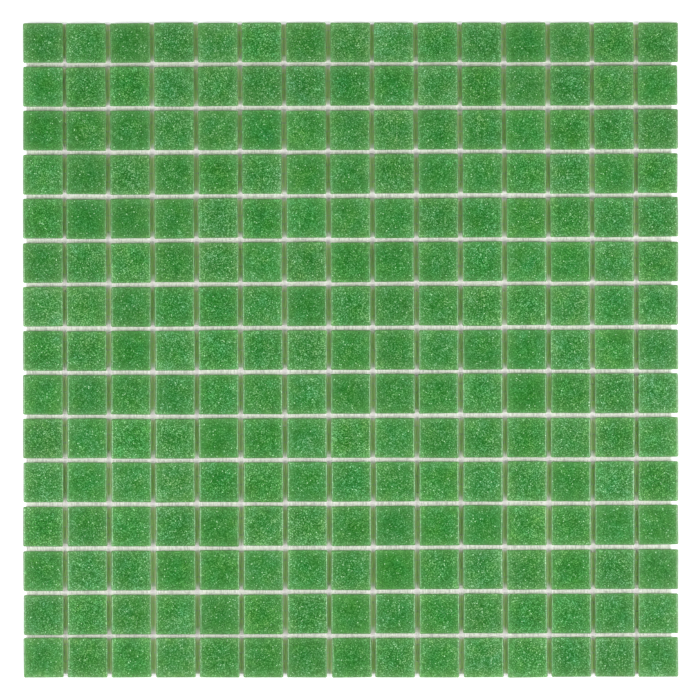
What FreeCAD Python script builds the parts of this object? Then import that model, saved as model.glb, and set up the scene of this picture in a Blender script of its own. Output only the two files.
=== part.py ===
import FreeCAD, Part
import os
import Sketcher
from FreeCAD import Vector

# Mosaic tile sheet: square pressed glass tiles laid face up in straight rows,
# glued by their grooved backs to a woven mesh of glass yarn.
# Millimetres. X runs along a row, Y from row to row, Z up out of the tile faces.
# The origin is the centre of the sheet, on the surface that the mesh lies on.

SIZES = {
    # One tile, as it leaves the press mould
    "tile_side": 20.0,
    "tile_thickness": 4.0,
    "arris_width": 0.6,
    "arris_height": 0.5,
    "back_inset": 1.0,
    # Keying grooves in the back of a tile
    "groove_width": 2.0,
    "groove_depth": 0.5,
    "groove_pitch": 4.5,
    "groove_count": 3,
    # How the tiles are laid
    "joint_width": 1.93,
    "tiles_per_row": 15,
    "row_count": 15,
    # Mesh of flat yarns: warp runs across the rows, weft along them
    "mesh_pitch": 4.2,
    "warp_width": 0.7,
    "warp_thickness": 0.2,
    "weft_width": 0.9,
    "weft_thickness": 0.2,
    # How far the mesh stops short of the outer tiles' edges
    "setback_left": 1.5,
    "setback_right": 3.3,
    "setback_front": 1.7,
    "setback_back": 0.8,
}

# How far the cut that shapes a tile's walls runs past the tile
CUT_RUN_OUT = 1.0

# Lengths that several pieces share, as formulas of the sizes above
TILE_PITCH = "(sizes.tile_side + sizes.joint_width)"
HALF_ROW = f"({TILE_PITCH} * (sizes.tiles_per_row - 1) / 2)"
HALF_COLUMN = f"({TILE_PITCH} * (sizes.row_count - 1) / 2)"
HALF_WIDTH = f"({HALF_ROW} + sizes.tile_side / 2)"
HALF_LENGTH = f"({HALF_COLUMN} + sizes.tile_side / 2)"
MESH_THICKNESS = "(sizes.weft_thickness + sizes.warp_thickness)"


def make_sizes(doc):
    """The sheet of driving dimensions, one named cell each."""
    sheet = doc.addObject("Spreadsheet::Sheet", "sizes")
    for line, (name, value) in enumerate(SIZES.items(), start=1):
        sheet.set(f"A{line}", str(value))
        sheet.setAlias(f"A{line}", name)
    doc.recompute()
    return sheet


def origin_feature(body, role):
    """One of the body's own origin planes or axes."""
    return next(f for f in body.Origin.OriginFeatures if f.Role == role)


def make_outline(body, name, plane_role, corners):
    """A closed outline of straight edges on one of the body's origin planes.

    Each corner is a pair of formulas, its place from the sketch's origin, and
    each is held there by two dimensions that follow the sizes.
    """
    sketch = body.newObject("Sketcher::SketchObject", name)
    sketch.AttachmentSupport = [(origin_feature(body, plane_role), "")]
    sketch.MapMode = "FlatFace"
    points = [Vector(sketch.evalExpression(x), sketch.evalExpression(y), 0) for x, y in corners]
    ends = points[1:] + points[:1]
    for start, end in zip(points, ends):
        sketch.addGeometry(Part.LineSegment(start, end), False)
    for edge in range(len(points)):
        following = (edge + 1) % len(points)
        sketch.addConstraint(Sketcher.Constraint("Coincident", edge, 2, following, 1))
    for edge, (point, (x, y)) in enumerate(zip(points, corners)):
        across = sketch.addConstraint(Sketcher.Constraint("DistanceX", -1, 1, edge, 1, point.x))
        sketch.renameConstraint(across, f"x{edge}")
        sketch.setExpression(f"Constraints.x{edge}", x)
        up = sketch.addConstraint(Sketcher.Constraint("DistanceY", -1, 1, edge, 1, point.y))
        sketch.renameConstraint(up, f"y{edge}")
        sketch.setExpression(f"Constraints.y{edge}", y)
    return sketch


def make_through_cut(body, name, outline):
    """A straight cut of the outline, right through the body both ways."""
    cut = body.newObject("PartDesign::Pocket", name)
    cut.Profile = outline
    cut.Type = "ThroughAll"
    cut.SideType = "Symmetric"
    return cut


def make_line(body, name, axis_role, spacing, count):
    """A straight pattern with an even spacing, which becomes the body's shape."""
    pattern = body.newObject("PartDesign::LinearPattern", name)
    pattern.Direction = (origin_feature(body, axis_role), [""])
    pattern.Mode = "Spacing"
    pattern.setExpression("Offset", spacing)
    pattern.setExpression("Occurrences", count)
    body.Tip = pattern
    return pattern


def make_tile(doc):
    """One pressed glass tile, back down, centred on its own origin.

    Its face has a broken arris all round. Below the arris the four walls lean
    in towards the back, which has grooves for the adhesive to key into.
    """
    body = doc.addObject("PartDesign::Body", "pressed_tile")
    half = "sizes.tile_side / 2"
    square = make_outline(
        body,
        "blank_outline",
        "XY_Plane",
        [(f"-{half}", f"-{half}"), (half, f"-{half}"), (half, half), (f"-{half}", half)],
    )
    blank = body.newObject("PartDesign::Pad", "blank")
    blank.Profile = square
    blank.setExpression("Length", "sizes.tile_thickness")

    outside = f"{half} + {CUT_RUN_OUT}"
    wall = make_outline(
        body,
        "wall_relief",
        "XZ_Plane",
        [
            (f"{half} - sizes.back_inset", "0"),
            (f"{outside}", "0"),
            (f"{outside}", "sizes.tile_thickness"),
            (f"{half} - sizes.arris_width", "sizes.tile_thickness"),
            (f"{half}", "sizes.tile_thickness - sizes.arris_height"),
        ],
    )
    one_wall = make_through_cut(body, "one_wall", wall)
    walls = body.newObject("PartDesign::PolarPattern", "four_walls")
    walls.Originals = [one_wall]
    walls.Axis = (origin_feature(body, "Z_Axis"), [""])
    walls.Angle = 360
    walls.Occurrences = 4
    body.Tip = walls

    first_groove = "sizes.groove_pitch * (sizes.groove_count - 1) / 2"
    groove = make_outline(
        body,
        "groove_section",
        "XZ_Plane",
        [
            (f"-({first_groove}) - sizes.groove_width / 2", "0"),
            (f"-({first_groove}) + sizes.groove_width / 2", "0"),
            (f"-({first_groove})", "sizes.groove_depth"),
        ],
    )
    one_groove = make_through_cut(body, "one_groove", groove)
    grooves = make_line(body, "grooves", "X_Axis", "sizes.groove_pitch", "sizes.groove_count")
    grooves.Originals = [one_groove]
    return body


def make_tile_row(doc, tile, number):
    """A row of like tiles, laid from left to right on the mesh."""
    row = doc.addObject("PartDesign::Body", f"tile_row_{number:02d}")
    row.AllowCompound = True
    row.BaseFeature = tile
    doc.recompute()
    laid = make_line(row, f"laid_tiles_{number:02d}", "X_Axis", TILE_PITCH, "sizes.tiles_per_row")
    laid.TransformMode = "Whole shape"
    row.setExpression("Placement.Base.x", f"-{HALF_ROW}")
    row.setExpression("Placement.Base.y", f"{TILE_PITCH} * {number - 1} - {HALF_COLUMN}")
    row.setExpression("Placement.Base.z", MESH_THICKNESS)
    return row


def make_yarns(doc, name, plane_role, axis_role, section, reach, back_reach, span):
    """One layer of the mesh: parallel flat yarns, evenly spaced either side of the centre."""
    width, bottom, top = section
    per_side = f"floor(({span} - {width} / 2) / sizes.mesh_pitch)"
    first = f"(-{per_side} * sizes.mesh_pitch)"
    body = doc.addObject("PartDesign::Body", name)
    body.AllowCompound = True
    outline = make_outline(
        body,
        f"{name}_section",
        plane_role,
        [
            (f"{first} - {width} / 2", bottom),
            (f"{first} + {width} / 2", bottom),
            (f"{first} + {width} / 2", top),
            (f"{first} - {width} / 2", top),
        ],
    )
    yarn = body.newObject("PartDesign::Pad", f"{name}_first")
    yarn.Profile = outline
    yarn.SideType = "Two sides"
    yarn.setExpression("Length", reach)
    yarn.setExpression("Length2", back_reach)
    layer = make_line(body, f"{name}_layer", axis_role, "sizes.mesh_pitch", f"2 * {per_side} + 1")
    layer.Originals = [yarn]
    return body


def make_mesh(doc):
    """The woven backing: weft yarns underneath, and warp yarns on them under the tiles."""
    left = f"({HALF_WIDTH} - sizes.setback_left)"
    right = f"({HALF_WIDTH} - sizes.setback_right)"
    front = f"({HALF_LENGTH} - sizes.setback_front)"
    back = f"({HALF_LENGTH} - sizes.setback_back)"
    weft = make_yarns(
        doc,
        "mesh_weft_yarns",
        "YZ_Plane",
        "Y_Axis",
        ("sizes.weft_width", "0", "sizes.weft_thickness"),
        right,
        left,
        f"min({front}; {back})",
    )
    warp = make_yarns(
        doc,
        "mesh_warp_yarns",
        "XZ_Plane",
        "X_Axis",
        ("sizes.warp_width", "sizes.weft_thickness", MESH_THICKNESS),
        front,
        back,
        f"min({left}; {right})",
    )
    return [weft, warp]


def check(doc, pieces):
    """Stops if any feature failed or a piece has no sound solid."""
    for item in doc.Objects:
        if "Invalid" in item.State or "Error" in item.State:
            raise RuntimeError(f"{item.Label} failed: {item.State}")
    for piece in pieces:
        if piece.Shape.isNull() or not piece.Shape.isValid() or not piece.Shape.Solids:
            raise RuntimeError(f"{piece.Label} has no valid solid")


document = FreeCAD.newDocument("mosaic_tile_sheet")
sizes = make_sizes(document)
pressed_tile = make_tile(document)
document.recompute()
row_numbers = range(1, int(sizes.get("row_count")) + 1)
tile_rows = [make_tile_row(document, pressed_tile, number) for number in row_numbers]
nodes = tile_rows + make_mesh(document)
document.recompute()
check(document, nodes)

os.makedirs("parts", exist_ok=True)
for node in nodes:
    node.Shape.exportStep(f"parts/{node.Label}.step")
    box = node.Shape.BoundBox
    print(
        f"{node.Label}: {len(node.Shape.Solids)} solids, {node.Shape.Volume:.1f} mm3,"
        f" X {box.XMin:.2f} to {box.XMax:.2f}, Y {box.YMin:.2f} to {box.YMax:.2f},"
        f" Z {box.ZMin:.2f} to {box.ZMax:.2f}"
    )
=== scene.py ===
import math

import bmesh
import bpy
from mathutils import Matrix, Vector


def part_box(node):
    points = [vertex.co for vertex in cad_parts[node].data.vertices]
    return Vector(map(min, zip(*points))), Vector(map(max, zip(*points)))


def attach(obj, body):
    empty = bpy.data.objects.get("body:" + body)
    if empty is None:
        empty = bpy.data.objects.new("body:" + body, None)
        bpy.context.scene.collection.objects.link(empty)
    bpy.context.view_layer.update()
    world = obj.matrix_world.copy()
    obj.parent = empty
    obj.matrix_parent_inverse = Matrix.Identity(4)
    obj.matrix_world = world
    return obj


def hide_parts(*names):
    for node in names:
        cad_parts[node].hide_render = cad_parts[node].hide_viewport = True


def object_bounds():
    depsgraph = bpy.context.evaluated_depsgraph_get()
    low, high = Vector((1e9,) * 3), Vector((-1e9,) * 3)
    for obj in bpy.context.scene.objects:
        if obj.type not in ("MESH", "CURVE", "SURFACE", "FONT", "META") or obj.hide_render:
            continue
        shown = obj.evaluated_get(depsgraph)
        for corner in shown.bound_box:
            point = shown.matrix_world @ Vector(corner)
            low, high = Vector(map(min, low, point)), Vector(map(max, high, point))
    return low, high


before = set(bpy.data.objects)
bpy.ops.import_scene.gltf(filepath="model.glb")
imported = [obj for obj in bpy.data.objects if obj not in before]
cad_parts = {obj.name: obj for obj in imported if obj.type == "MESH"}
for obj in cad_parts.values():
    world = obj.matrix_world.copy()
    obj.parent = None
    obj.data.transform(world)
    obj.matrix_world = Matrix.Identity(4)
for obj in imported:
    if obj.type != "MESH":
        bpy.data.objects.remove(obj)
cad_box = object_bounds()
MM = 0.001

# The carrier mesh under the tiles
# An open cloth of glass-fibre yarns, woven one over and one under and stiffened with size.
# The warp runs from front to back and the weft from side to side. The tiles are glued onto it.
YARN_PITCH = 4.2 * MM
YARN_THICKNESS = 0.2 * MM
WARP_WIDTH = 0.7 * MM
WEFT_WIDTH = 0.9 * MM
YARN_SIDES = 5
STEPS_BETWEEN_CROSSINGS = 3
YARN_WANDER = 0.12 * MM
WANDER_LENGTH = 40 * MM
YARN_WHITE = (0.95, 0.93, 0.90, 1.0)
YARN_SHADE = (0.86, 0.84, 0.81, 1.0)
YARN_ROUGHNESS = 0.6
FIBRE_LENGTH = 2.5 * MM
FIBRE_THICKNESS = 0.09 * MM
FIBRE_DETAIL = 3.0
FIBRE_CONTRAST = 1.6
FIBRE_LEVEL = 0.9
FIBRE_BUMP = 0.5
FIBRE_RELIEF = 0.03 * MM


def put(tree, value, socket):
    """A socket takes another socket's value by a wire, and a plain number or vector as it is."""
    if isinstance(value, bpy.types.NodeSocket):
        tree.links.new(value, socket)
    else:
        socket.default_value = value


def place(tree, kind, settings=None, **wires):
    """Places a node, sets what it is set to, and wires its inputs by their names."""
    made = tree.nodes.new(kind)
    for name, value in (settings or {}).items():
        setattr(made, name, value)
    for name, value in wires.items():
        put(tree, value, made.inputs[name.replace("_", " ")])
    return made


def reckon(tree, operation, *terms):
    """A sum, product or other operation on sockets and numbers."""
    made = place(tree, "ShaderNodeMath", {"operation": operation})
    for socket, term in zip(made.inputs, terms):
        put(tree, term, socket)
    return made.outputs[0]


def stray(tree, noise, strength, base=0.0):
    """A base value, with a noise that strays to either side of it."""
    return reckon(tree, "MULTIPLY_ADD", reckon(tree, "SUBTRACT", noise, 0.5), strength, base)


def point(tree, x, y, z):
    return place(tree, "ShaderNodeCombineXYZ", X=x, Y=y, Z=z).outputs[0]


def axes(tree, vector):
    """The X, Y and Z of a vector."""
    return place(tree, "ShaderNodeSeparateXYZ", Vector=vector).outputs


def position(tree):
    """Where each point of a shape is, in a geometry tree."""
    return tree.nodes.new("GeometryNodeInputPosition").outputs[0]


def place_on_piece(tree):
    """Where each spot of a surface is, in a material."""
    return place(tree, "ShaderNodeTexCoord").outputs["Object"]


def start_tree(name, inputs):
    """A geometry tree with its named inputs. Gives the tree and the sockets that hold them."""
    tree = bpy.data.node_groups.new(name, "GeometryNodeTree")
    tree.interface.new_socket("Geometry", in_out="INPUT", socket_type="NodeSocketGeometry")
    tree.interface.new_socket("Geometry", in_out="OUTPUT", socket_type="NodeSocketGeometry")
    for label, kind in inputs:
        tree.interface.new_socket(label, in_out="INPUT", socket_type=f"NodeSocket{kind}")
    return tree, tree.nodes.new("NodeGroupInput").outputs


def end_tree(tree, geometry, material):
    """What the tree made becomes one plain mesh in its material."""
    real = place(tree, "GeometryNodeRealizeInstances", Geometry=geometry).outputs[0]
    clad = place(tree, "GeometryNodeSetMaterial", Geometry=real, Material=material).outputs[0]
    tree.links.new(clad, tree.nodes.new("NodeGroupOutput").inputs[0])


def grow(name, tree, mesh, **values):
    """Runs a tree on a mesh, with the values of its inputs, and keeps the result as a piece."""
    piece = bpy.data.objects.new(name, mesh)
    bpy.context.collection.objects.link(piece)
    modifier = piece.modifiers.new(tree.name, "NODES")
    modifier.node_group = tree
    sockets = {item.name: item.identifier for item in tree.interface.items_tree}
    for label, value in values.items():
        modifier[sockets[label.replace("_", " ")]] = value
    grown = piece.evaluated_get(bpy.context.evaluated_depsgraph_get())
    result = bpy.data.meshes.new_from_object(grown)
    result.name = name
    piece.modifiers.clear()
    piece.data = result
    return piece


def start_material(name):
    """A material on its Principled shader. Gives the material, its tree and the shader."""
    material = bpy.data.materials.new(name)
    material.use_nodes = True
    tree = material.node_tree
    return material, tree, tree.nodes["Principled BSDF"]


def blend(tree, share, first, second, way="MIX"):
    """Two colours mixed. A share of 0 is the first one, and 1 the second."""
    made = place(tree, "ShaderNodeMix", {"data_type": "RGBA", "blend_type": way})
    for number, value in ((0, share), (6, first), (7, second)):
        put(tree, value, made.inputs[number])
    return made.outputs[2]


def spun_fibres():
    """What both sets of yarns share: fine fibres drawn out along the yarn, and blotches of size."""
    group = bpy.data.node_groups.new("spun_fibres", "ShaderNodeTree")
    for label, way, kind in (("Where", "INPUT", "Vector"), ("Fibre Scale", "INPUT", "Vector"),
                             ("Colour", "OUTPUT", "Color"), ("Fibres", "OUTPUT", "Float")):
        group.interface.new_socket(label, in_out=way, socket_type=f"NodeSocket{kind}")
    given = group.nodes.new("NodeGroupInput").outputs
    drawn = place(group, "ShaderNodeMapping", Vector=given["Where"],
                  Scale=given["Fibre Scale"]).outputs[0]
    fibres = place(group, "ShaderNodeTexNoise", Vector=drawn, Scale=1.0,
                   Detail=FIBRE_DETAIL).outputs[0]
    blotches = place(group, "ShaderNodeTexNoise", Vector=given["Where"],
                     Scale=1 / WANDER_LENGTH).outputs[0]
    shade = reckon(group, "MULTIPLY_ADD", fibres, FIBRE_CONTRAST,
                   reckon(group, "SUBTRACT", blotches, FIBRE_LEVEL))
    result = group.nodes.new("NodeGroupOutput").inputs
    put(group, blend(group, shade, YARN_WHITE, YARN_SHADE), result["Colour"])
    put(group, fibres, result["Fibres"])
    return group


def spun_glass(name, fibres, scale):
    """Sized glass-fibre yarn: dull white, with its fibres along X or along Y."""
    material, tree, finish = start_material(name)
    spun = place(tree, "ShaderNodeGroup", {"node_tree": fibres}, Where=place_on_piece(tree),
                 Fibre_Scale=scale).outputs
    bump = place(tree, "ShaderNodeBump", Height=spun["Fibres"], Strength=FIBRE_BUMP,
                 Distance=FIBRE_RELIEF)
    put(tree, spun["Colour"], finish.inputs["Base Color"])
    put(tree, bump.outputs[0], finish.inputs["Normal"])
    finish.inputs["Roughness"].default_value = YARN_ROUGHNESS
    return material


def weaving_tree():
    """Yarns side by side that pass over and under the ones that cross them. Between the two
    sets is the height of one thickness, and each yarn swings half a thickness up and down."""
    tree, given = start_tree("woven_yarns", [
        ("Yarns", "Int"), ("Pitch", "Float"), ("First", "Float"), ("Points", "Int"),
        ("Start", "Float"), ("Step", "Float"), ("Low", "Float"), ("High", "Float"),
        ("Width", "Float"), ("Thickness", "Float"), ("Over", "Float"), ("Wander", "Float"),
        ("Wander Length", "Float"), ("Turn", "Float"), ("Material", "Material")])
    line = place(tree, "GeometryNodeMeshLine", {"mode": "OFFSET"}, Count=given["Points"],
                 Start_Location=point(tree, given["Start"], 0.0, 0.0),
                 Offset=point(tree, given["Step"], 0.0, 0.0)).outputs[0]
    yarn = place(tree, "GeometryNodeMeshToCurve", Mesh=line).outputs[0]
    laid = place(tree, "GeometryNodeDuplicateElements", {"domain": "SPLINE"}, Geometry=yarn,
                 Amount=given["Yarns"])
    number = laid.outputs[1]
    along = place(tree, "ShaderNodeClamp", Value=axes(tree, position(tree))[0],
                  Min=given["Low"], Max=given["High"]).outputs[0]
    crossings = reckon(tree, "DIVIDE", along, given["Pitch"])
    swing = reckon(tree, "COSINE", reckon(tree, "MULTIPLY", crossings, math.pi))
    side = reckon(tree, "MULTIPLY_ADD", reckon(tree, "FLOORED_MODULO", number, 2.0), -2.0, 1.0)
    lift = reckon(tree, "MULTIPLY", reckon(tree, "MULTIPLY", swing, side), given["Over"])
    height = reckon(tree, "MULTIPLY", reckon(tree, "MULTIPLY_ADD", lift, 0.5, 1.0),
                    given["Thickness"])
    way = point(tree, reckon(tree, "DIVIDE", along, given["Wander Length"]), number, 0.0)
    drift = place(tree, "ShaderNodeTexNoise", {"noise_dimensions": "2D"}, Scale=1.0,
                  Vector=way).outputs[0]
    first = reckon(tree, "ADD", given["First"], stray(tree, drift, given["Wander"]))
    across = reckon(tree, "MULTIPLY_ADD", number, given["Pitch"], first)
    waved = place(tree, "GeometryNodeSetPosition", Geometry=laid.outputs[0],
                  Position=point(tree, along, across, height)).outputs[0]
    upright = place(tree, "GeometryNodeSetCurveNormal", {"mode": "Z_UP"}, Curve=waved).outputs[0]
    ring = place(tree, "GeometryNodeCurvePrimitiveCircle", Resolution=YARN_SIDES,
                 Radius=0.5).outputs[0]
    section = place(tree, "GeometryNodeTransform", Geometry=ring,
                    Scale=point(tree, given["Width"], given["Thickness"], 1.0)).outputs[0]
    solid = place(tree, "GeometryNodeCurveToMesh", Curve=upright, Profile_Curve=section,
                  Fill_Caps=True).outputs[0]
    turned = place(tree, "GeometryNodeTransform", Geometry=solid,
                   Rotation=point(tree, 0.0, 0.0, given["Turn"])).outputs[0]
    end_tree(tree, turned, given["Material"])
    return tree


def weave(name, tree, low, high, first, last, width, over, turn, material):
    """One set of yarns, from low to high along themselves and from first to last across."""
    step = YARN_PITCH / STEPS_BETWEEN_CROSSINGS
    start = math.floor(low / step)
    points = math.ceil(high / step) - start + 1
    yarns = round((last - first - width) / YARN_PITCH) + 1
    return grow(name, tree, bpy.data.meshes.new(name), Yarns=yarns, Pitch=YARN_PITCH,
                First=first + width / 2, Points=points, Start=start * step, Step=step,
                Low=low, High=high, Width=width, Thickness=YARN_THICKNESS, Over=over,
                Wander=YARN_WANDER, Wander_Length=WANDER_LENGTH, Turn=turn, Material=material)


warp_low, warp_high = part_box("mesh_warp_yarns")
weft_low, weft_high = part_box("mesh_weft_yarns")
weaving = weaving_tree()
fibres = spun_fibres()
fibres_along = 1 / FIBRE_LENGTH
fibres_across = 1 / FIBRE_THICKNESS
warp_glass = spun_glass("warp_glass", fibres, (fibres_across, fibres_along, fibres_across))
weft_glass = spun_glass("weft_glass", fibres, (fibres_along, fibres_across, fibres_across))
warp_yarns = weave("warp_yarns", weaving, warp_low[1], warp_high[1], warp_low[0], warp_high[0],
                   WARP_WIDTH, 1.0, math.pi / 2, warp_glass)
weft_yarns = weave("weft_yarns", weaving, weft_low[0], weft_high[0], weft_low[1], weft_high[1],
                   WEFT_WIDTH, -1.0, 0.0, weft_glass)
for yarns, node in ((warp_yarns, "mesh_warp_yarns"), (weft_yarns, "mesh_weft_yarns")):
    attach(yarns, "root")
    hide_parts(node)

# The glue film in the mesh
# White glue that was rolled into the mesh, fills its openings and holds the backs of the tiles.
# It dries to a thin skin that sinks between the yarns and ends where the mesh was cut.
FILM_LOW = 0.08 * MM
FILM_HIGH = 0.30 * MM
FILM_SINK = 0.05 * MM
FILM_STEPS = 2
FILM_SEAM = 0.001 * MM
FILM_WHITE = (0.95, 0.92, 0.90, 1.0)
FILM_GREY = (0.66, 0.65, 0.62, 1.0)
FILM_MOTTLE = 6 * MM
MOTTLE_DETAIL = 4.0
FILM_STREAK = (0.7 * MM, 3 * MM, 3 * MM)
STREAK_DETAIL = 2.0
STREAK_CONTRAST = 4.2
STREAK_LEVEL = 2.2
FILM_ROUGHNESS = 0.3
ROUGHNESS_MOTTLE = 0.3

# The film's other colours, and where each starts and is full. That is told by the cosine of the
# place over its pitch, which is 1 on a yarn or a tile's middle and -1 in the middle of a joint.
TILE_PITCH = 21.93 * MM
# Paler over the warp yarns: partly the white yarn under the glue, partly a painted highlight on
# these ridges, which face the side lamps
FILM_OVER_YARN = (0.98, 0.96, 0.95, 1.0)
ON_YARN = (0.80, 0.95)
# Painted light: green light from the glass on the shaded film in the joints that run front to back
FILM_SHADED = (0.88, 0.93, 0.62, 1.0)
IN_JOINT_DOWN = (-0.86, -0.92)
CLEAR_OF_CROSSING = (-0.93, -0.86)
# Painted light: a pale glow behind each crossing, where light spills from the crossing into the
# joint behind it
FILM_CROSSING_GLOW = (1.0, 0.99, 0.97, 1.0)
GLOW_BEHIND = 1.2 * MM
GLOW_SIDEWAYS = (-0.93, -0.97)
GLOW_LENGTHWAYS = (-0.40, -0.75)
# Painted shade: darker and pinker on the crossing of two joints itself
FILM_CROSSING_SHADE = (0.84, 0.77, 0.80, 1.0)
AT_CROSSING = (0.90, 0.97)


def wave(tree, place_across, pitch):
    """1 at every whole pitch, and -1 half way between."""
    turns = reckon(tree, "DIVIDE", place_across, pitch)
    return reckon(tree, "COSINE", reckon(tree, "MULTIPLY", turns, 2 * math.pi))


def reach(tree, value, start, full):
    """0 where the value is at start or before, rising to 1 at full."""
    return place(tree, "ShaderNodeMapRange", Value=value, From_Min=start,
                 From_Max=full).outputs[0]


def white_glue():
    """Dried glue, mottled and streaked, with painted light: paler over the warp yarns, partly a
    painted highlight, a painted glow behind each crossing of two joints, painted shade on the
    crossing itself, and painted green light in the joints that run front to back."""
    material, tree, finish = start_material("white_glue")
    where = place_on_piece(tree)
    mottle = place(tree, "ShaderNodeTexNoise", Vector=where, Scale=1 / FILM_MOTTLE,
                   Detail=MOTTLE_DETAIL).outputs[0]
    drawn = place(tree, "ShaderNodeMapping", Vector=where,
                  Scale=[1 / length for length in FILM_STREAK]).outputs[0]
    streaks = place(tree, "ShaderNodeTexNoise", Vector=drawn, Scale=1.0,
                    Detail=STREAK_DETAIL).outputs[0]
    grey = reckon(tree, "MULTIPLY_ADD", streaks, STREAK_CONTRAST,
                  reckon(tree, "SUBTRACT", mottle, STREAK_LEVEL))
    spot = axes(tree, where)
    down, across = [wave(tree, spot[axis], TILE_PITCH) for axis in (0, 1)]
    behind = wave(tree, reckon(tree, "SUBTRACT", spot[1], GLOW_BEHIND), TILE_PITCH)
    over_yarn = reach(tree, wave(tree, spot[0], YARN_PITCH), *ON_YARN)
    shaded = reckon(tree, "MULTIPLY", reach(tree, down, *IN_JOINT_DOWN),
                    reach(tree, across, *CLEAR_OF_CROSSING))
    crossing_glow = reckon(tree, "MULTIPLY", reach(tree, down, *GLOW_SIDEWAYS),
                      reach(tree, behind, *GLOW_LENGTHWAYS))
    crossing_shade = reach(tree, reckon(tree, "MULTIPLY", down, across), *AT_CROSSING)
    # The film's own mottled colour, with its painted light and shade laid over it
    colour = FILM_WHITE
    for share, other in ((grey, FILM_GREY), (over_yarn, FILM_OVER_YARN), (shaded, FILM_SHADED),
                         (crossing_glow, FILM_CROSSING_GLOW), (crossing_shade, FILM_CROSSING_SHADE)):
        colour = blend(tree, share, colour, other)
    put(tree, colour, finish.inputs["Base Color"])
    put(tree, reckon(tree, "MULTIPLY_ADD", mottle, ROUGHNESS_MOTTLE, FILM_ROUGHNESS),
        finish.inputs["Roughness"])
    return material


def skin_tree():
    """A closed skin with a flat underside and a shallow hollow in each opening of the mesh."""
    tree, given = start_tree("glue_skin", [
        ("Centre", "Vector"), ("Width", "Float"), ("Length", "Float"), ("Across", "Int"),
        ("Down", "Int"), ("Pitch", "Float"), ("Low", "Float"), ("High", "Float"),
        ("Sink", "Float"), ("Material", "Material")])
    sheet = place(tree, "GeometryNodeMeshGrid", Size_X=given["Width"], Size_Y=given["Length"],
                  Vertices_X=given["Across"], Vertices_Y=given["Down"]).outputs[0]
    placed = place(tree, "GeometryNodeTransform", Geometry=sheet,
                   Translation=given["Centre"]).outputs[0]
    spot = axes(tree, position(tree))
    hollows = [reckon(tree, "MULTIPLY_ADD", wave(tree, spot[axis], given["Pitch"]), -0.5, 0.5)
               for axis in (0, 1)]
    sunk = reckon(tree, "MULTIPLY", reckon(tree, "MULTIPLY", *hollows), given["Sink"])
    height = reckon(tree, "SUBTRACT", given["High"], sunk)
    upper = place(tree, "GeometryNodeSetPosition", Geometry=placed,
                  Offset=point(tree, 0.0, 0.0, height)).outputs[0]
    thickness = reckon(tree, "SUBTRACT", given["High"], given["Low"])
    lower = place(tree, "GeometryNodeExtrudeMesh", {"mode": "FACES"}, Mesh=upper,
                  Individual=False, Offset=point(tree, 0.0, 0.0, -1.0),
                  Offset_Scale=thickness).outputs[0]
    lower = place(tree, "GeometryNodeFlipFaces", Mesh=lower).outputs[0]
    both = place(tree, "GeometryNodeJoinGeometry", Geometry=lower)
    tree.links.new(upper, both.inputs[0])
    skin = place(tree, "GeometryNodeMergeByDistance", Geometry=both.outputs[0],
                 Distance=FILM_SEAM).outputs[0]
    end_tree(tree, skin, given["Material"])
    return tree


skin_low = (weft_low[0], warp_low[1])
skin_high = (weft_high[0], warp_high[1])
skin_size = [high - low for low, high in zip(skin_low, skin_high)]
skin_middle = [(low + high) / 2 for low, high in zip(skin_low, skin_high)]
vertices = [round(FILM_STEPS * side / YARN_PITCH) + 1 for side in skin_size]
glue_film = grow("glue_film", skin_tree(), bpy.data.meshes.new("glue_film"),
                 Centre=(*skin_middle, 0.0), Width=skin_size[0], Length=skin_size[1],
                 Across=vertices[0], Down=vertices[1], Pitch=YARN_PITCH, Low=FILM_LOW,
                 High=FILM_HIGH, Sink=FILM_SINK, Material=white_glue())
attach(glue_film, "root")

# The pressed glass tiles
# Each tile is a square of vitreous glass paste, pressed with round arrises, walls that lean in
# and a grooved back. It is laid face up on the glued mesh, and no two lie quite alike.
TILE_SIDE = 19.90 * MM
TILE_THICKNESS = 4.0 * MM
CORNER_RADIUS = 0.7 * MM
CORNER_STEPS = 3
ARRIS_WIDTH = 0.9 * MM
ARRIS_HEIGHT = 0.55 * MM
ARRIS_STEPS = 3
FACE_RADIUS = 0.4 * MM
BACK_INSET = 1.0 * MM
BACK_RADIUS = 0.6 * MM
GROOVE_WIDTH = 2.0 * MM
GROOVE_DEPTH = 0.5 * MM
GROOVE_PITCH = 4.5 * MM
GROOVES = 3
CUT_RUN_OUT = 1.0 * MM

# The grains of the paste, from the darkest shade to the palest
GLASS_SHADES = [
    (0.00, (0.005, 0.110, 0.005)),
    (0.30, (0.016, 0.171, 0.017)),
    (0.50, (0.030, 0.220, 0.031)),
    (0.70, (0.052, 0.276, 0.053)),
    (1.00, (0.245, 0.600, 0.238)),
]
GRAIN_SIZE = 0.48 * MM
GRAIN_CONTRAST = 0.50
FINE_GRAIN_SIZE = 0.3 * MM
FINE_GRAIN_CONTRAST = 0.46
CLOUD_SIZE = 1.6 * MM
CLOUD_DETAIL = 3.0
CLOUD_CONTRAST = 0.11
STAIN_SIZE = 6.5 * MM
STAIN_DETAIL = 1.0
STAIN_SHADE = 0.33
STAIN_WARMTH = 0.60
STAIN_GREYNESS = 0.7
STAINS_APART = 1000.0
FLECK_SPACING = 0.9 * MM
FLECK_RADIUS = 0.31
FLECK_SHARE = 0.075
FLECK_COLOUR = (0.58, 1.0, 0.56, 1.0)
FAINTEST_FLECK = 0.25
FLECK_RARITY = 3.0
PIT_DEPTH = 0.04 * MM
PIT_BUMP = 0.35
GLASS_ROUGHNESS = 0.12
ROUGHNESS_CLOUDS = 0.2

# Painted light that the paste gathers at its edges, at the sheet's rim and in the joints, added to
# its colour
EDGE_LIGHT = (0.165, 0.215, 0.120, 1.0)
EDGE_REACH = 2.2 * MM
EDGE_GLOW = 0.42
FRONT_EDGE_GLOW = 0.38
RIM_REACH = 2.6 * MM
RIM_GLOW = 0.25
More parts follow.
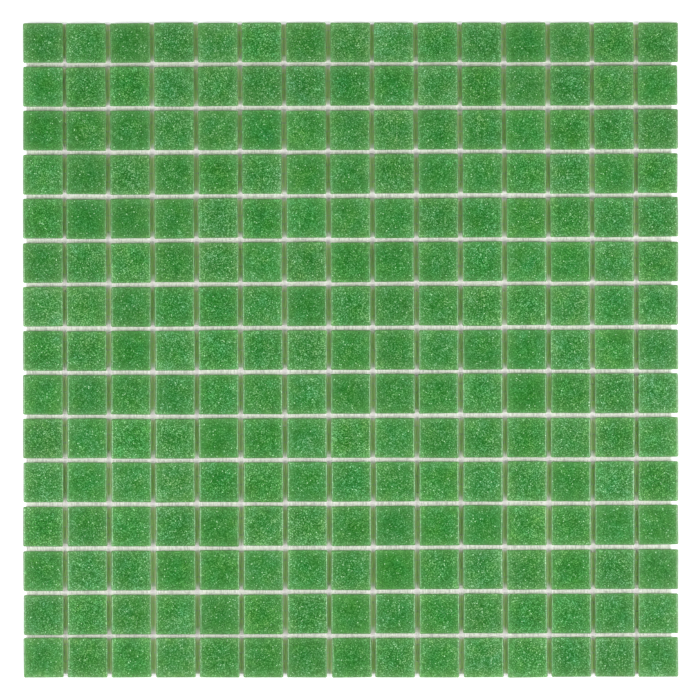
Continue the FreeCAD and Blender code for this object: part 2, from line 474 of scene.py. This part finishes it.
# Painted light on the lower walls inside the joints: green light that comes through the glass,
# palest on the walls along the lit joints and near the crossings
SIDE_WALL_LIGHT = (0.36, 0.92, 0.06, 1.0)
FRONT_WALL_LIGHT = (0.70, 1.0, 0.56, 1.0)
WALL_TOP = 3.0 * MM
WALL_FULL = 2.6 * MM
OUTER_WALLS = 1.7 * MM
CORNER_WALL_LIGHT = (0.97, 1.0, 0.90, 1.0)
CORNER_FULL = 1.4 * MM
CORNER_END = 2.8 * MM

# How the tiles lie and how they differ
ROWS = 15
LATTICE_TURN = math.radians(0.16)
TILE_SHIFT = 0.2 * MM
TILE_TURN = math.radians(0.6)
EDGE_WAVER = 0.12 * MM
WAVER_LENGTH = 14 * MM
BOX_MARGIN = 0.16 * MM
LIGHTNESS_SPREAD = 0.048
WARMTH_SPREAD = 0.06
GREYNESS_SPREAD = 0.13
LEAST_GRAIN = 0.97
MOST_GRAIN = 1.32
SEEDS_IN_A_ROW = 10.0


def rounded_square(mesh, half, radius, height):
    """One ring of a tile: a square with round corners, as points at one height."""
    ring = []
    for corner in range(4):
        middle = math.radians(45 + 90 * corner)
        centre_x = math.copysign(half - radius, math.cos(middle))
        centre_y = math.copysign(half - radius, math.sin(middle))
        for step in range(CORNER_STEPS + 1):
            angle = math.radians(90 * corner + 90 * step / CORNER_STEPS)
            ring.append(mesh.verts.new((centre_x + radius * math.cos(angle),
                                        centre_y + radius * math.sin(angle), height)))
    return ring


def pressed_blank(back):
    """The tile before its grooves: face, rounded arris, leaning walls and flat back."""
    mesh = bmesh.new()
    top = back + TILE_THICKNESS
    half = TILE_SIDE / 2
    rings = [rounded_square(mesh, half - BACK_INSET, BACK_RADIUS, back)]
    for step in range(ARRIS_STEPS, -1, -1):
        angle = math.radians(90 * step / ARRIS_STEPS)
        inset = ARRIS_WIDTH * (1 - math.sin(angle))
        drop = ARRIS_HEIGHT * (1 - math.cos(angle))
        radius = FACE_RADIUS + (CORNER_RADIUS - FACE_RADIUS) * math.sin(angle)
        rings.append(rounded_square(mesh, half - inset, radius, top - drop))
    for lower, upper in zip(rings, rings[1:]):
        for i in range(len(lower)):
            j = (i + 1) % len(lower)
            mesh.faces.new((lower[i], lower[j], upper[j], upper[i])).smooth = True
    mesh.faces.new(reversed(rings[0]))
    mesh.faces.new(rings[-1])
    face_map = mesh.loops.layers.uv.new("tile_face")
    for face in mesh.faces:
        for loop in face.loops:
            loop[face_map].uv = [loop.vert.co[axis] / TILE_SIDE + 0.5 for axis in (0, 1)]
    blank = bpy.data.meshes.new("tile_blank")
    mesh.to_mesh(blank)
    mesh.free()
    return blank


def groove_bars(back):
    """The three bars that the die presses into the back."""
    mesh = bmesh.new()
    for number in range(GROOVES):
        bar = bmesh.ops.create_cube(mesh, size=1.0)["verts"]
        across = (number - (GROOVES - 1) / 2) * GROOVE_PITCH
        bmesh.ops.scale(mesh, verts=bar, vec=(
            TILE_SIDE + CUT_RUN_OUT, GROOVE_WIDTH, 2 * GROOVE_DEPTH))
        bmesh.ops.translate(mesh, verts=bar, vec=(0.0, across, back))
    bars = bpy.data.meshes.new("groove_bars")
    mesh.to_mesh(bars)
    mesh.free()
    return bars


def press_tile(back):
    """One tile with its grooves, as a mesh that every row is laid from."""
    tile = bpy.data.objects.new("pressed_tile", pressed_blank(back))
    bars = bpy.data.objects.new("groove_bars", groove_bars(back))
    for part in (tile, bars):
        bpy.context.collection.objects.link(part)
    grooves = tile.modifiers.new("grooves", "BOOLEAN")
    grooves.object = bars
    grooves.operation = "DIFFERENCE"
    grooved = tile.evaluated_get(bpy.context.evaluated_depsgraph_get())
    pressed = bpy.data.meshes.new_from_object(grooved)
    bpy.data.objects.remove(tile)
    bpy.data.objects.remove(bars)
    return pressed


def channels(tree, colour):
    """The red, green and blue of a colour, which are three random numbers in a random colour."""
    return place(tree, "ShaderNodeSeparateColor", Color=colour).outputs


def fading(tree, distance, length):
    """1 at an edge, and less with the distance from it."""
    return reckon(tree, "EXPONENT", reckon(tree, "DIVIDE", distance, -length))


def glass_paste():
    """Vitreous glass: packed green grains, light and dark, with faint stains and pale flecks. Its
    edges are lit with painted light, and the walls inside the joints are painted green for the
    light that reaches through it."""
    material, tree, finish = start_material("green_glass_paste")
    where = place_on_piece(tree)
    coarse = place(tree, "ShaderNodeTexVoronoi", Vector=where, Scale=1 / GRAIN_SIZE)
    fine = place(tree, "ShaderNodeTexVoronoi", Vector=where, Scale=1 / FINE_GRAIN_SIZE)
    clouds = place(tree, "ShaderNodeTexNoise", Vector=where, Scale=1 / CLOUD_SIZE,
                   Detail=CLOUD_DETAIL).outputs[0]
    grain = stray(tree, channels(tree, coarse.outputs["Color"])[0], GRAIN_CONTRAST)
    grain = stray(tree, channels(tree, fine.outputs["Color"])[1], FINE_GRAIN_CONTRAST, grain)
    grain = stray(tree, clouds, CLOUD_CONTRAST, grain)

    contrast, lightness, warmth, greyness = [
        place(tree, "ShaderNodeAttribute", {"attribute_name": name}).outputs["Fac"]
        for name in ("grain_contrast", "lightness", "warmth", "greyness")]
    stains = place(tree, "ShaderNodeTexNoise", {"noise_dimensions": "4D"}, Vector=where,
                   W=reckon(tree, "MULTIPLY", lightness, STAINS_APART),
                   Scale=1 / STAIN_SIZE, Detail=STAIN_DETAIL).outputs["Color"]
    lightness, warmth, greyness = [
        stray(tree, stain, strength, tile_wide) for stain, strength, tile_wide in zip(
            channels(tree, stains), (STAIN_SHADE, STAIN_WARMTH, STAIN_GREYNESS),
            (lightness, warmth, greyness))]
    shade = reckon(tree, "MULTIPLY_ADD", grain, contrast, reckon(tree, "ADD", lightness, 0.5))
    ramp = place(tree, "ShaderNodeValToRGB", Fac=shade)
    while len(ramp.color_ramp.elements) < len(GLASS_SHADES):
        ramp.color_ramp.elements.new(0.5)
    for stop, (at, green) in zip(ramp.color_ramp.elements, GLASS_SHADES):
        stop.position = at
        stop.color = (*green, 1.0)
    pale = reckon(tree, "ADD", greyness, 1.0)
    tint = place(tree, "ShaderNodeCombineColor", Red=reckon(tree, "ADD", pale, warmth),
                 Green=1.0, Blue=reckon(tree, "SUBTRACT", pale, warmth)).outputs[0]
    colour = blend(tree, 1.0, ramp.outputs[0], tint, "MULTIPLY")

    face = axes(tree, place(tree, "ShaderNodeUVMap", {"uv_map": "tile_face"}).outputs[0])
    from_edges = []
    for axis in (0, 1):
        off_centre = reckon(tree, "ABSOLUTE", reckon(tree, "SUBTRACT", face[axis], 0.5))
        from_edge = reckon(tree, "SUBTRACT", 0.5, off_centre)
        from_edges.append(reckon(tree, "MULTIPLY", from_edge, TILE_SIDE))
    spot = axes(tree, where)
    off_middle = [reckon(tree, "ABSOLUTE", spot[axis]) for axis in (0, 1)]
    inwards = reckon(tree, "SUBTRACT", cad_box[1][0], reckon(tree, "MAXIMUM", *off_middle))
    # Painted light along the tile edges and the sheet's rim
    glow = 0.0
    for distance, length, strength in ((from_edges[0], EDGE_REACH, EDGE_GLOW),
                                       (from_edges[1], EDGE_REACH, FRONT_EDGE_GLOW),
                                       (inwards, RIM_REACH, RIM_GLOW)):
        glow = reckon(tree, "MULTIPLY_ADD", fading(tree, distance, length), strength, glow)
    colour = blend(tree, glow, colour, EDGE_LIGHT, "ADD")

    flecks = place(tree, "ShaderNodeTexVoronoi", Vector=where, Scale=1 / FLECK_SPACING)
    drawn = channels(tree, flecks.outputs["Color"])
    here = reckon(tree, "MULTIPLY", reckon(tree, "LESS_THAN", drawn[2], FLECK_SHARE),
                  reckon(tree, "LESS_THAN", flecks.outputs["Distance"], FLECK_RADIUS))
    strength = reckon(tree, "MULTIPLY_ADD", reckon(tree, "POWER", drawn[0], FLECK_RARITY),
                      1 - FAINTEST_FLECK, FAINTEST_FLECK)
    colour = blend(tree, reckon(tree, "MULTIPLY", strength, here), colour, FLECK_COLOUR)

    # Painted light: the lower walls inside the joints, away from the sheet's rim, take the painted
    # green light of the glass
    deep = reach(tree, spot[2], WALL_TOP, WALL_FULL)
    in_joint = reckon(tree, "GREATER_THAN", inwards, OUTER_WALLS)
    sideways = reckon(tree, "LESS_THAN", *from_edges)
    at_corner = reach(tree, reckon(tree, "MAXIMUM", *from_edges), CORNER_END, CORNER_FULL)
    wall_light = blend(tree, sideways, FRONT_WALL_LIGHT, SIDE_WALL_LIGHT)
    wall_light = blend(tree, at_corner, wall_light, CORNER_WALL_LIGHT)
    colour = blend(tree, reckon(tree, "MULTIPLY", deep, in_joint), colour, wall_light)

    bump = place(tree, "ShaderNodeBump", Height=grain, Strength=PIT_BUMP, Distance=PIT_DEPTH)
    put(tree, colour, finish.inputs["Base Color"])
    put(tree, reckon(tree, "MULTIPLY_ADD", clouds, ROUGHNESS_CLOUDS, GLASS_ROUGHNESS),
        finish.inputs["Roughness"])
    put(tree, bump.outputs[0], finish.inputs["Normal"])
    return material


def laying_tree():
    """A row of tiles, each a little out of place, with its own shade and grain."""
    tree, given = start_tree("laid_tiles", [
        ("Tiles", "Int"), ("Pitch", "Float"), ("Row Y", "Float"), ("Lattice Turn", "Float"),
        ("Shift", "Float"), ("Turn", "Float"), ("Waver", "Float"), ("Waver Length", "Float"),
        ("Limit", "Float"), ("Seed", "Int"), ("Material", "Material")])

    def minus(value):
        return reckon(tree, "MULTIPLY", value, -1.0)

    def chance(draw, low, high, kind="FLOAT"):
        """One number or vector for each tile, by the row's seed and the number of the draw."""
        seed = reckon(tree, "MULTIPLY_ADD", given["Seed"], SEEDS_IN_A_ROW, float(draw))
        made = place(tree, "FunctionNodeRandomValue", {"data_type": kind}, Seed=seed)
        least, most, result = (0, 1, 0) if kind == "FLOAT_VECTOR" else (2, 3, 1)
        put(tree, low, made.inputs[least])
        put(tree, high, made.inputs[most])
        return made.outputs[result]

    half = reckon(tree, "MULTIPLY", reckon(tree, "SUBTRACT", given["Tiles"], 1.0),
                  reckon(tree, "MULTIPLY", given["Pitch"], -0.5))
    lean = reckon(tree, "MULTIPLY", given["Row Y"], given["Lattice Turn"])
    start_x = reckon(tree, "SUBTRACT", half, lean)
    start_y = reckon(tree, "MULTIPLY_ADD", half, given["Lattice Turn"], given["Row Y"])
    rise = reckon(tree, "MULTIPLY", given["Pitch"], given["Lattice Turn"])
    line = place(tree, "GeometryNodeMeshLine", {"mode": "OFFSET"}, Count=given["Tiles"],
                 Start_Location=point(tree, start_x, start_y, 0.0),
                 Offset=point(tree, given["Pitch"], rise, 0.0)).outputs[0]
    shift_back = minus(given["Shift"])
    shift = chance(1, point(tree, shift_back, shift_back, 0.0),
                   point(tree, given["Shift"], given["Shift"], 0.0), "FLOAT_VECTOR")
    pushed = place(tree, "GeometryNodeSetPosition", Geometry=line, Offset=shift).outputs[0]
    spot = axes(tree, position(tree))
    limit_back = minus(given["Limit"])
    kept = [place(tree, "ShaderNodeClamp", Value=spot[axis], Min=limit_back,
                  Max=given["Limit"]).outputs[0] for axis in (0, 1)]
    bounded = place(tree, "GeometryNodeSetPosition", Geometry=pushed,
                    Position=point(tree, *kept, 0.0)).outputs[0]
    turn = reckon(tree, "ADD", chance(2, minus(given["Turn"]), given["Turn"]),
                  given["Lattice Turn"])
    rotation = place(tree, "FunctionNodeEulerToRotation",
                     Euler=point(tree, 0.0, 0.0, turn)).outputs[0]
    laid = place(tree, "GeometryNodeInstanceOnPoints", Points=bounded,
                 Instance=given["Geometry"], Rotation=rotation).outputs[0]
    for draw, label, low, high in ((3, "lightness", -LIGHTNESS_SPREAD, LIGHTNESS_SPREAD),
                                   (4, "warmth", -WARMTH_SPREAD, WARMTH_SPREAD),
                                   (5, "grain_contrast", LEAST_GRAIN, MOST_GRAIN),
                                   (6, "greyness", -GREYNESS_SPREAD, GREYNESS_SPREAD)):
        laid = place(tree, "GeometryNodeStoreNamedAttribute",
                     {"data_type": "FLOAT", "domain": "INSTANCE"}, Geometry=laid, Name=label,
                     Value=chance(draw, low, high)).outputs[0]
    real = place(tree, "GeometryNodeRealizeInstances", Geometry=laid).outputs[0]
    ripple = place(tree, "ShaderNodeTexNoise", Vector=position(tree), Detail=0.0,
                   Scale=reckon(tree, "DIVIDE", 1.0, given["Waver Length"])).outputs["Color"]
    ripple = axes(tree, ripple)
    wavered = [stray(tree, ripple[axis], given["Waver"]) for axis in (0, 1)]
    uneven = place(tree, "GeometryNodeSetPosition", Geometry=real,
                   Offset=point(tree, *wavered, 0.0)).outputs[0]
    end_tree(tree, uneven, given["Material"])
    return tree


laying = laying_tree()
paste = glass_paste()
furthest = cad_box[1][0] - TILE_SIDE / 2 - BOX_MARGIN
for row in range(1, ROWS + 1):
    node = f"tile_row_{row:02d}"
    row_low, row_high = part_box(node)
    length = row_high[0] - row_low[0]
    depth = row_high[1] - row_low[1]
    tiles = round((length - depth) / TILE_PITCH) + 1
    if row == 1:
        tile_mesh = press_tile(row_low[2])
    tiles_of_row = grow(f"glass_tiles_{row:02d}", laying, tile_mesh, Tiles=tiles,
                        Pitch=(length - depth) / (tiles - 1), Limit=furthest,
                        Row_Y=(row_low[1] + row_high[1]) / 2, Lattice_Turn=LATTICE_TURN,
                        Shift=TILE_SHIFT, Turn=TILE_TURN, Waver=EDGE_WAVER,
                        Waver_Length=WAVER_LENGTH, Seed=row, Material=paste)
    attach(tiles_of_row, "root")
    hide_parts(node)

# The floor, the lamps and the camera
# The sheet lies flat on a white table in a white room. Three soft lamps stand at either side,
# the strongest nearly abreast of it, and the camera looks straight down from far off.
FLOOR_SIZE = 30.0
FLOOR_GAP = 0.02 * MM
FLOOR_WHITE = (0.90, 0.90, 0.90, 1.0)
FLOOR_ROUGHNESS = 0.9
PURE_WHITE = (1.0, 1.0, 1.0, 1.0)
FLOOR_GLOW = 0.45
FAR_GLOW = 1.0
GLOW_NEAR = 0.3
GLOW_FAR = 0.9
WALL_LIGHT = 0.7
CEILING_LIGHT = 0.1
WALL_RISE = 2.0
LAMP_DISTANCE = 1.2
LAMP_SIZE = 0.45
LAMP_ELEVATION = math.radians(52)
RIGHT_LAMP_EXTRA = 0.06
# Each pair's name, its degrees to the front from straight sideways, and its power
LAMPS = [("lamp", 8, 5.65), ("front_fill", 52, 2.0), ("back_fill", -45, 0.6)]
LENS = 200.0
PHOTO_SIDE = 700
MM_PER_PIXEL = 0.4985
SHEET_MIDDLE = (350.65, 349.95)


def seen_rays(tree):
    """1 for what the camera sees, straight or in a gloss or through glass, and 0 for light."""
    path = tree.nodes.new("ShaderNodeLightPath").outputs
    seen = reckon(tree, "MAXIMUM", path["Is Camera Ray"], path["Is Glossy Ray"])
    return reckon(tree, "MAXIMUM", seen, path["Is Transmission Ray"])


floor_mesh = bpy.data.meshes.new("floor")
corners = [(x * FLOOR_SIZE / 2, y * FLOOR_SIZE / 2, -FLOOR_GAP)
           for x, y in ((-1, -1), (1, -1), (1, 1), (-1, 1))]
floor_mesh.from_pydata(corners, [], [(0, 1, 2, 3)])
floor = bpy.data.objects.new("floor", floor_mesh)
bpy.context.collection.objects.link(floor)
white, tree, finish = start_material("white_table")
finish.inputs["Base Color"].default_value = FLOOR_WHITE
finish.inputs["Roughness"].default_value = FLOOR_ROUGHNESS
finish.inputs["Emission Color"].default_value = PURE_WHITE
away = place(tree, "ShaderNodeVectorMath", {"operation": "LENGTH"},
             Vector=place_on_piece(tree)).outputs["Value"]
glow = place(tree, "ShaderNodeMapRange", Value=away, From_Min=GLOW_NEAR, From_Max=GLOW_FAR,
             To_Min=FLOOR_GLOW, To_Max=FAR_GLOW).outputs[0]
put(tree, reckon(tree, "MULTIPLY", seen_rays(tree), glow), finish.inputs["Emission Strength"])
floor_mesh.materials.append(white)

world = bpy.data.worlds.new("white_room")
bpy.context.scene.world = world
world.use_nodes = True
tree = world.node_tree
air = tree.nodes["Background"]
air.inputs["Color"].default_value = PURE_WHITE
height = axes(tree, place(tree, "ShaderNodeTexCoord").outputs["Generated"])[2]
above = reckon(tree, "MAXIMUM", height, 0.0)
low_down = reckon(tree, "POWER", reckon(tree, "SUBTRACT", 1.0, above), WALL_RISE)
lit = reckon(tree, "MULTIPLY_ADD", low_down, WALL_LIGHT - CEILING_LIGHT, CEILING_LIGHT)
mirrored = reckon(tree, "MULTIPLY", seen_rays(tree), low_down)
straight = tree.nodes.new("ShaderNodeLightPath").outputs["Is Camera Ray"]
seen = reckon(tree, "MAXIMUM", mirrored, straight)
put(tree, reckon(tree, "MAXIMUM", lit, seen), air.inputs["Strength"])

for label, to_front, power in LAMPS:
    for side_name, side in (("left", -1), ("right", 1)):
        lamp = bpy.data.lights.new(f"{label}_{side_name}", "AREA")
        lamp.shape = "DISK"
        lamp.size = LAMP_SIZE
        lamp.energy = power * (1 + RIGHT_LAMP_EXTRA * side)
        stand = bpy.data.objects.new(lamp.name, lamp)
        bpy.context.collection.objects.link(stand)
        outwards = LAMP_DISTANCE * math.cos(LAMP_ELEVATION)
        turn = math.radians(to_front)
        stand.location = (side * outwards * math.cos(turn), -outwards * math.sin(turn),
                          LAMP_DISTANCE * math.sin(LAMP_ELEVATION))
        stand.rotation_euler = stand.location.to_track_quat("Z", "Y").to_euler()

camera = bpy.data.cameras.new("camera")
camera.lens = LENS
eye = bpy.data.objects.new("camera", camera)
bpy.context.collection.objects.link(eye)
frame_width = PHOTO_SIDE * MM_PER_PIXEL * MM
eye.location = ((PHOTO_SIDE / 2 - SHEET_MIDDLE[0]) * MM_PER_PIXEL * MM,
                (SHEET_MIDDLE[1] - PHOTO_SIDE / 2) * MM_PER_PIXEL * MM,
                cad_box[1][2] + frame_width * camera.lens / camera.sensor_width)
bpy.context.scene.camera = eye

bpy.context.scene.view_settings.view_transform = "Standard"
